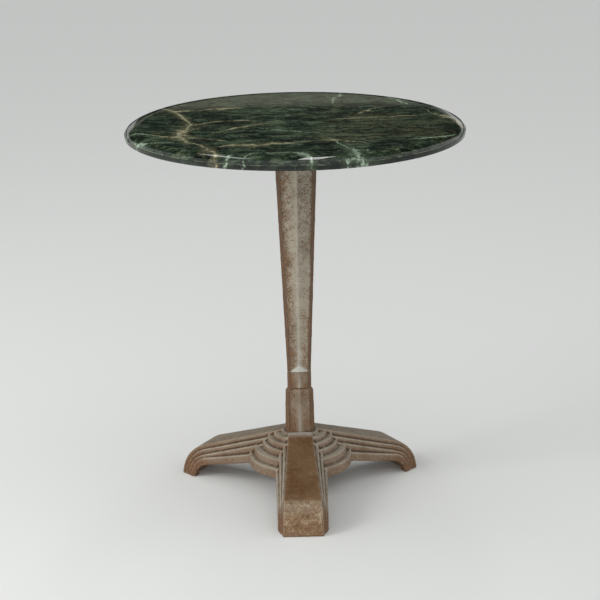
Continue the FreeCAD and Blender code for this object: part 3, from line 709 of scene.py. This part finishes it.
MINT_VEINS = [
    ("x", [(-0.07, -0.04), (-0.02, -0.07), (0.034, -0.093), (0.075, -0.118)],
     [(-0.08, 0), (-0.03, 0.0022), (0.02, 0.0018), (0.08, 0)]),
    ("y", [(-0.305, 0.118), (-0.27, 0.104), (-0.237, 0.094), (-0.19, 0.074), (-0.15, 0.058)],
     [(-0.305, 0.006), (-0.27, 0.012), (-0.24, 0.007), (-0.21, 0.002), (-0.15, 0.0012), (-0.13, 0)]),
    ("y", [(-0.305, 0.078), (-0.285, 0.088), (-0.262, 0.112), (-0.24, 0.12)],
     [(-0.305, 0.003), (-0.28, 0.0035), (-0.25, 0.0015), (-0.235, 0)]),
    ("x", [(-0.09, -0.256), (-0.03, -0.251), (0.008, -0.262), (0.024, -0.30)],
     [(-0.1, 0), (-0.05, 0.0015), (-0.01, 0.002), (0.01, 0.012), (0.035, 0.012), (0.05, 0)]),
    ("y", [(-0.305, -0.15), (-0.28, -0.118), (-0.262, -0.108), (-0.25, -0.104)],
     [(-0.305, 0.0024), (-0.27, 0.002), (-0.25, 0)]),
    ("y", [(-0.305, -0.085), (-0.28, -0.09), (-0.255, -0.078), (-0.24, -0.06)],
     [(-0.305, 0.0008), (-0.27, 0.0016), (-0.24, 0)]),
    ("y", [(0.16, 0.205), (0.2, 0.19), (0.25, 0.168)],
     [(0.13, 0), (0.18, 0.004), (0.23, 0.003), (0.26, 0)]),
    ("y", [(0.17, 0.073), (0.22, 0.082), (0.28, 0.096)],
     [(0.15, 0), (0.2, 0.003), (0.26, 0.003), (0.3, 0)]),
    ("x", [(-0.285, -0.07), (-0.262, -0.085), (-0.24, -0.1)],
     [(-0.3, 0.003), (-0.26, 0.0025), (-0.235, 0)]),
    ("x", [(-0.27, -0.132), (-0.245, -0.15), (-0.22, -0.155)],
     [(-0.28, 0.003), (-0.24, 0.004), (-0.205, 0)]),
    ("x", [(0.2, -0.16), (0.24, -0.15), (0.28, -0.1)],
     [(0.19, 0), (0.22, 0.003), (0.26, 0.002), (0.29, 0)]),
]


def curve_of(n, value, points, signed=True):
    """Return the height of the curve through points: a smooth line, or unsigned straight widths."""
    share = n.maths("MULTIPLY_ADD", value, 0.5 / HALF_SPAN, 0.5)
    node = n.add("ShaderNodeFloatCurve", {"Value": share})
    line = node.mapping.curves[0]
    base = 0.5 if signed else 0
    scale = 0.5 / HALF_SPAN if signed else 1 / WIDEST_VEIN
    places = [(0.5 + along * 0.5 / HALF_SPAN, base + height * scale) for along, height in points]
    while len(line.points) < len(places):
        line.points.new(0.5, 0.5)
    for point, place in zip(line.points, places):
        point.location = place
        point.handle_type = "AUTO" if signed else "VECTOR"
    node.mapping.update()
    return n.maths("MULTIPLY_ADD", node.outputs[0], 1 / scale, -base / scale)


def nearest_vein(n, place, veins):
    """Return the distance to the nearest vein's middle, over that vein's half width there."""
    along_x, along_y, _ = n.axes(place)
    nearest = None
    for run, line, widths in veins:
        along, across = (along_x, along_y) if run == "x" else (along_y, along_x)
        off = n.maths("ABSOLUTE", n.maths("SUBTRACT", across, curve_of(n, along, line)))
        width = n.maths("MAXIMUM", curve_of(n, along, widths, signed=False), THINNEST_VEIN)
        far = n.maths("DIVIDE", off, width)
        nearest = far if nearest is None else n.maths("MINIMUM", nearest, far)
    return nearest


def spot(n, place, centre, radius):
    """Return 1 at a place on the slab and 0 from radius on."""
    gap = n.add("ShaderNodeVectorMath", {0: place, 1: (*centre, 0)}, operation="SUBTRACT")
    return n.between(n.reach(gap.outputs[0]), radius, radius * 0.2)


MARBLE_BLACK = (0.003, 0.006, 0.004)
MARBLE_DEEP = (0.011, 0.023, 0.013)
MARBLE_GREEN = (0.034, 0.058, 0.032)
MARBLE_LIGHT = (0.110, 0.150, 0.092)
MARBLE_LINE = (0.190, 0.215, 0.130)
MARBLE_OLIVE = (0.095, 0.088, 0.042)
MARBLE_MINT = (0.360, 0.470, 0.350)
MARBLE_CREAM = (0.500, 0.480, 0.310)
MARBLE_GOLD = (0.280, 0.210, 0.100)
MARBLE_HALO = (0.150, 0.140, 0.075)
MARBLE_RAW = (0.150, 0.190, 0.150)

# Noise scales of the marble's body, from broad to fine, and its streaks' stretch along X.
CLOUD_SCALE = 8
OLIVE_SCALE = 11
STREAK_SCALE = 52
FINE_SCALE = 210
STREAK_STRETCH = (0.4, 1.0, 1.0)
REAR_START = 0.15
REAR_FULL = 0.19

# Threads through the body: their stretch along X, scale and half width, and their patches.
THIN_THREADS = dict(
    stretch=0.35, offset=(9, 4, 2), scale=70, width=0.03, patch_scale=30, patch=(0.40, 0.55))
PALE_THREADS = dict(
    stretch=0.40, offset=(2, 7, 0), scale=26, width=0.022, patch_scale=16, patch=(0.44, 0.60))
DARK_THREADS = dict(
    stretch=0.45, offset=(5, 2, 1), scale=30, width=0.05, patch_scale=24, patch=(0.36, 0.50),
    patch_detail=4)

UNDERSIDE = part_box("marble_top")[0].z
# Painted shade on the rim, and a deeper painted shade on the upright band.
RIM_TURN = 0.008
RIM_PAINTED_SHADE = 0.35
BAND_PAINTED_SHADE = 0.45
# A painted highlight line along the ledge: its height, and its half widths at the edge and in the
# core.
LEDGE_HIGHLIGHT_MIDDLE = UNDERSIDE + RIM_BAND + 0.0008
LEDGE_HIGHLIGHT_HALF = 0.0009
LEDGE_HIGHLIGHT_CORE = 0.0003


def patchy_threads(n, loose, place, stretch, offset, scale, width, patch_scale, patch, patch_detail=5):
    """Return threads that run along X and show only in patches."""
    lines = n.threads(n.stretched(loose, (stretch, 1, 1), offset), scale, width)
    return n.times(lines, n.between(n.clouds(place, patch_scale, patch_detail, 0.7), *patch))


def marble_body(n, place):
    """Return the marble's colour away from its large veins."""
    loose = n.bent(n.bent(place, 7, 0.045), 32, 0.012)
    streaky = n.stretched(loose, STREAK_STRETCH)
    fine = n.clouds(streaky, FINE_SCALE, 6, 0.8)
    body = n.maths("MULTIPLY_ADD", n.clouds(streaky, STREAK_SCALE, 8, 0.7), 0.9, n.times(fine, 0.5))
    body = n.maths("MULTIPLY_ADD", n.clouds(loose, CLOUD_SCALE, 3, 0.5), 0.3, body)
    colour = n.ramp(body, [
        (0.78, MARBLE_BLACK), (0.83, MARBLE_DEEP), (0.89, MARBLE_GREEN), (0.98, MARBLE_LIGHT)])
    right_spot = spot(n, place, (0.15, -0.05), 0.2)
    rear_spot = spot(n, place, (-0.15, 0.19), 0.16)
    olive = n.maths("MULTIPLY_ADD", right_spot, 0.3, n.clouds(loose, OLIVE_SCALE, 5, 0.6))
    olive = n.maths("MULTIPLY_ADD", rear_spot, 0.2, olive)
    olive = n.times(n.between(olive, 0.54, 0.78), n.between(fine, 0.42, 0.58))
    colour = n.mixed(n.times(olive, 0.8), colour, MARBLE_OLIVE)
    thin = patchy_threads(n, loose, place, **THIN_THREADS)
    pale = patchy_threads(n, loose, place, **PALE_THREADS)
    dark = patchy_threads(n, loose, place, **DARK_THREADS)
    colour = n.mixed(n.times(thin, 0.8), colour, MARBLE_LIGHT)
    colour = n.mixed(n.times(pale, 0.75), colour, MARBLE_LINE)
    rear = n.between(n.axes(loose)[1], REAR_START, REAR_FULL)
    rear = n.times(rear, n.between(fine, 0.4, 0.58))
    colour = n.mixed(n.times(rear, 0.7), colour, MARBLE_LIGHT)
    return n.mixed(n.times(dark, 0.85), colour, MARBLE_BLACK)


def marble_rim_shade_and_highlight(n, place, colour):
    """Return the colour with painted shade on the rim, deeper painted shade on the upright band, and a
    painted highlight line along the ledge between them.
    """
    rim = n.between(n.reach(place), TOP_FACE_RADIUS, TOP_FACE_RADIUS + RIM_TURN)
    height = n.axes(place)[2]
    band = n.between(height, UNDERSIDE + RIM_BAND + 0.001, UNDERSIDE + RIM_BAND)
    # Painted shade: the rim darkens towards black, the upright band most.
    rim_shade = n.times(n.maths("MULTIPLY_ADD", band, BAND_PAINTED_SHADE, RIM_PAINTED_SHADE), rim)
    colour = n.mixed(rim_shade, colour, MARBLE_BLACK)
    # Painted highlight: a broken pale line along the ledge.
    off_ledge = n.maths("ABSOLUTE", n.maths("SUBTRACT", height, LEDGE_HIGHLIGHT_MIDDLE))
    ledge = n.between(off_ledge, LEDGE_HIGHLIGHT_HALF, LEDGE_HIGHLIGHT_CORE)
    ledge = n.times(ledge, n.between(n.clouds(place, 34, 4, 0.6), 0.42, 0.6))
    return n.mixed(n.times(n.times(ledge, rim), 0.6), colour, MARBLE_LINE)


# How the veins wander, as (noise scale, metres), and how they crumble, thin out and swell.
VEIN_WANDER = [(20, 0.026), (60, 0.014), (180, 0.006)]
CRUMB_SCALE = 150
GAP_SCALE = 42
SWELL_SCALE = 34
VEIN_TINT_SCALE = 90


def marble_veins(n, place, colour):
    """Return the colour with the pale green veins and the cream ones over it."""
    wavy = place
    for scale, amount in VEIN_WANDER:
        wavy = n.bent(wavy, scale, amount)
    crumbs = n.maths("MULTIPLY_ADD", n.clouds(place, CRUMB_SCALE, 6, 0.9), 8.0, -3.9)
    gaps = n.times(n.between(n.clouds(place, GAP_SCALE, 4, 0.7), 0.5, 0.64), 1.3)
    broken = n.maths("ADD", crumbs, gaps)
    mint = n.maths("ADD", nearest_vein(n, wavy, MINT_VEINS), broken)
    colour = n.mixed(n.times(n.between(mint, 5.0, 0.3), 0.3), colour, MARBLE_LIGHT)
    colour = n.mixed(n.times(n.between(mint, 1.5, 0.2), 0.85), colour, MARBLE_MINT)
    swell = n.between(n.clouds(place, SWELL_SCALE, 4, 0.65), 0.36, 0.62)
    swell = n.maths("MULTIPLY_ADD", swell, 1.3, 0.45)
    cream = n.maths("MULTIPLY_ADD", nearest_vein(n, wavy, CREAM_VEINS), swell, broken)
    vein_colour = n.ramp(n.clouds(place, VEIN_TINT_SCALE, 5, 0.7), [
        (0.35, MARBLE_GOLD), (0.5, MARBLE_CREAM), (0.62, MARBLE_CREAM), (0.75, MARBLE_MINT)])
    colour = n.mixed(n.times(n.between(cream, 5.0, 0.0), 0.6), colour, MARBLE_HALO)
    return n.mixed(n.times(n.between(cream, 1.6, 0.1), 0.9), colour, vein_colour)


MARBLE_IOR = 1.47
RAW_START = 0.0006
RAW_FULL = 0.0001


def marble_material():
    """Polished dark green marble with cream and pale green veins, painted shade on its rim and a
    painted highlight on its ledge, left raw underneath.
    """
    material, n, shader = new_material("green_marble")
    place = n.place()
    colour = marble_body(n, place)
    colour = marble_rim_shade_and_highlight(n, place, colour)
    colour = marble_veins(n, place, colour)
    raw = n.between(n.axes(place)[2], UNDERSIDE + RAW_START, UNDERSIDE + RAW_FULL)
    colour = n.mixed(n.times(raw, 0.55), colour, MARBLE_RAW)
    n.feed(shader.inputs["Base Color"], colour)
    gloss = n.maths("MULTIPLY_ADD", n.clouds(place, 150, 4, 0.7), 0.03, 0.008)
    n.feed(shader.inputs["Roughness"], n.maths("MULTIPLY_ADD", raw, 0.55, gloss))
    shader.inputs["IOR"].default_value = MARBLE_IOR
    n.feed(shader.inputs["Normal"], n.bump(n.clouds(place, 30, 3), 0.0003, 0.05))
    return material


# ---- bracket, screws and nuts --------------------------------------------------------

BRACKET_IRON = (0.120, 0.105, 0.092)
BRACKET_DARK = (0.045, 0.036, 0.030)
STEEL = (0.420, 0.400, 0.370)
STEEL_DARK = (0.130, 0.105, 0.080)
BRASS = (0.560, 0.390, 0.150)
BRASS_DARK = (0.200, 0.125, 0.050)
CORK = (0.420, 0.260, 0.135)
CORK_DARK = (0.120, 0.062, 0.030)
CORK_CRUMB_SCALE = 620.0
CORK_ROUGHNESS = 0.85


def bracket_material():
    """Sand-cast iron, dark and dusty, with rust where the casting is rough."""
    material, n, shader = new_material("bracket_iron")
    place = n.place()
    mottle = n.clouds(place, 60, 6, 0.65)
    grain = n.clouds(place, 420, 3, 0.6)
    colour = n.mixed(n.between(mottle, 0.35, 0.65), BRACKET_DARK, BRACKET_IRON)
    rusty = n.maths("MULTIPLY_ADD", grain, 0.5, n.times(n.clouds(place, 24, 5, 0.6), 0.6))
    colour = n.mixed(n.times(n.between(rusty, 0.56, 0.64), 0.8), colour, RUST)
    n.feed(shader.inputs["Base Color"], colour)
    n.feed(shader.inputs["Metallic"], n.between(rusty, 0.6, 0.5))
    n.feed(shader.inputs["Roughness"], n.maths("MULTIPLY_ADD", mottle, 0.35, 0.42))
    n.feed(shader.inputs["Normal"], n.bump(n.maths("MULTIPLY_ADD", mottle, 0.5, grain), 0.0006, 0.6))
    return material


def metal_material(name, bright, dull):
    """Return a material of turned metal with fine scratches and cloudy tarnish."""
    material, n, shader = new_material(name)
    place = n.place()
    tarnish = n.clouds(place, 150, 5, 0.65)
    scratches = n.clouds(n.stretched(place, (1, 1, 14)), 320, 3, 0.6)
    colour = n.mixed(n.between(tarnish, 0.42, 0.68), bright, dull)
    n.feed(shader.inputs["Base Color"], colour)
    shader.inputs["Metallic"].default_value = 1.0
    rough = n.maths("MULTIPLY_ADD", tarnish, 0.3, 0.18)
    n.feed(shader.inputs["Roughness"], n.maths("MULTIPLY_ADD", scratches, 0.15, rough))
    n.feed(shader.inputs["Normal"], n.bump(scratches, 0.0002, 0.4))
    return material


def cork_material():
    """Pressed cork: pale crumbs with dark seams between them."""
    material, n, shader = new_material("cork")
    cells = {"Vector": n.bent(n.place(), 400, 0.001), "Scale": CORK_CRUMB_SCALE}
    crumbs = n.add("ShaderNodeTexVoronoi", cells)
    seams = n.add("ShaderNodeTexVoronoi", cells, feature="DISTANCE_TO_EDGE").outputs["Distance"]
    tint = n.axes(crumbs.outputs["Color"])[0]
    colour = n.mixed(n.times(tint, 0.6), CORK, CORK_DARK)
    colour = n.mixed(n.times(n.between(seams, 0.12, 0.0), 0.7), colour, CORK_DARK)
    n.feed(shader.inputs["Base Color"], colour)
    shader.inputs["Roughness"].default_value = CORK_ROUGHNESS
    n.feed(shader.inputs["Normal"], n.bump(seams, 0.0004, 0.8))
    return material


def dress_small_parts():
    """Give the fixings under the slab and along the tie rod their finishes."""
    steel = metal_material("fastener_steel", STEEL, STEEL_DARK)
    brass = metal_material("insert_brass", BRASS, BRASS_DARK)
    finishes = {"spider": bracket_material(), "marble_inserts": brass, "spider_pads": cork_material()}
    for node in ("spider_screws", "tie_rod", "top_nut", "top_washer", "bottom_nut", "bottom_washer"):
        finishes[node] = steel
    for node, finish in finishes.items():
        for slot in nodes[node].material_slots:
            slot.material = finish


# ---- studio --------------------------------------------------------------------------

CAMERA_PLACE = (-0.0515, -3.5978, 1.4377)
CAMERA_PITCH = 0.289
CAMERA_TURN = -0.0154
CAMERA_ROLL = -0.0164
CAMERA_LENS = 122.76
FLOOR_HALF = 12
FLOOR_CELLS = 24
FLOOR_DROP = 0.0002
FLOOR_ROUGHNESS = 0.75
FLOOR_PALE = (0.88, 0.885, 0.87, 1.0)


def camera():
    """Look at the table from the front and a little above."""
    data = bpy.data.cameras.new("camera")
    data.lens = CAMERA_LENS
    eye = bpy.data.objects.new("camera", data)
    scene.collection.objects.link(eye)
    turn = (Matrix.Rotation(CAMERA_TURN, 4, "Z")
            @ Matrix.Rotation(math.pi / 2 - CAMERA_PITCH, 4, "X")
            @ Matrix.Rotation(CAMERA_ROLL, 4, "Z"))
    eye.matrix_world = Matrix.Translation(CAMERA_PLACE) @ turn
    scene.camera = eye


def softbox(name, place, target, width, height, power, mirrored):
    """Add one soft rectangular light that faces target, shown in the polish if mirrored."""
    data = bpy.data.lights.new(name, "AREA")
    data.shape = "RECTANGLE"
    data.size = width
    data.size_y = height
    data.energy = power
    light = bpy.data.objects.new(name, data)
    scene.collection.objects.link(light)
    light.visible_glossy = mirrored
    light.location = place
    light.rotation_euler = (Vector(target) - Vector(place)).to_track_quat("-Z", "Y").to_euler()


# The screen behind the table: its size in degrees, and the strip and the side walls on it.
# The strip is in degrees too. The walls are (start, full) in parts of the view direction.
SCREEN_TOP = 62
SCREEN_SIDE = 42
STRIP_LOW = 9.3
STRIP_HIGH = 11.13
WALL_FOOT = (0.035, 0.06)
WALL_TOP = (0.185, 0.165)
WALL_INNER = (0.10, 0.125)
SURROUND_COLOUR = (0.86, 0.87, 0.87)
SCREEN_COLOUR = (0.02, 0.022, 0.022)
STRIP_COLOUR = (0.175, 0.17, 0.142)
WALL_COLOUR = (0.6, 0.61, 0.61)


def sky():
    """Add a pale surround and, behind the table, a darker screen with a strip and two side walls."""
    world = bpy.data.worlds.new("studio")
    world.use_nodes = True
    n = Nodes(world.node_tree)
    across, away, up = n.axes(n.add("ShaderNodeTexCoord").outputs["Generated"])
    aside = n.maths("ABSOLUTE", across)
    low = math.sin(math.radians(STRIP_LOW))
    high = math.sin(math.radians(STRIP_HIGH))
    strip = n.times(n.between(up, low - 0.004, low + 0.004), n.between(up, high + 0.001, high - 0.001))
    screen = n.mixed(strip, SCREEN_COLOUR, STRIP_COLOUR)
    wall = n.times(n.between(up, *WALL_FOOT), n.between(up, *WALL_TOP))
    wall = n.times(wall, n.between(aside, *WALL_INNER))
    screen = n.mixed(wall, screen, WALL_COLOUR)
    top = math.sin(math.radians(SCREEN_TOP))
    side = math.sin(math.radians(SCREEN_SIDE))
    extent = n.times(n.between(up, top + 0.08, top), n.between(aside, side, side - 0.15))
    extent = n.times(extent, n.between(away, 0.0, 0.1))
    background = world.node_tree.nodes["Background"]
    n.feed(background.inputs["Color"], n.mixed(extent, SURROUND_COLOUR, screen))
    background.inputs["Strength"].default_value = 1.0
    scene.world = world


def floor():
    """Add a plain pale floor."""
    form = bmesh.new()
    bmesh.ops.create_grid(form, x_segments=FLOOR_CELLS, y_segments=FLOOR_CELLS, size=FLOOR_HALF)
    mesh = bpy.data.meshes.new("floor")
    form.to_mesh(mesh)
    form.free()
    sheet = bpy.data.objects.new("floor", mesh)
    scene.collection.objects.link(sheet)
    sheet.location.z = -FLOOR_DROP
    material, _, shader = new_material("pale_floor")
    shader.inputs["Base Color"].default_value = FLOOR_PALE
    shader.inputs["Roughness"].default_value = FLOOR_ROUGHNESS
    mesh.materials.append(material)


# The two windows are mirrored in the slab's rim. The key and the front light are not mirrored.
SOFTBOXES = {
    "key": dict(
        place=(-2.7, -1.3, 1.9), target=(0, 0, 0.4), width=1.3, height=1.6, power=41, mirrored=False),
    "front": dict(
        place=(0.4, -3.4, 2.4), target=(0, 0, 0.4), width=1.2, height=0.8, power=6.5, mirrored=False),
    "right_window": dict(
        place=(0.20, 1.26, 3.02), target=(0.04, -0.3, 0.7), width=0.26, height=0.8, power=4,
        mirrored=True),
    "left_window": dict(
        place=(-0.61, 1.46, 2.85), target=(-0.13, -0.27, 0.7), width=0.26, height=0.8, power=2.2,
        mirrored=True),
}


def studio():
    """Add the floor, the surround and the soft lights."""
    floor()
    sky()
    for name, light in SOFTBOXES.items():
        softbox(name, **light)
    scene.view_settings.view_transform = "Standard"


# ---- put it together -----------------------------------------------------------------

COLLAR_PAINT = dict(
    rust_left=0.6, rust_right=0.9, brown_all=0.5, ridge_pale=0.3, seam_share=0.5, painted_shade_share=0.6)
SLEEVE_PAINT = dict(
    rust_left=0.5, rust_right=0.5, brown_all=0.5, ridge_pale=0.3, seam_share=0.6, painted_shade_share=0.5)


def build():
    """Build every visible piece again and give each node its finish."""
    iron = iron_material("aged_iron")
    castings = [
        ("column", COLUMN_VOXEL, column_paint),
        ("collar", SMALL_VOXEL, shaft_paint(**COLLAR_PAINT)),
        ("sleeve", SMALL_VOXEL, shaft_paint(**SLEEVE_PAINT)),
        ("tripod_base", BASE_VOXEL, base_paint),
    ]
    for node, voxel, paint in castings:
        piece = cast_piece(node, voxel, paint)
        piece.data.materials.append(iron)
    slab = marble_piece()
    slab.data.materials.clear()
    slab.data.materials.append(marble_material())
    dress_small_parts()


build()
camera()
studio()
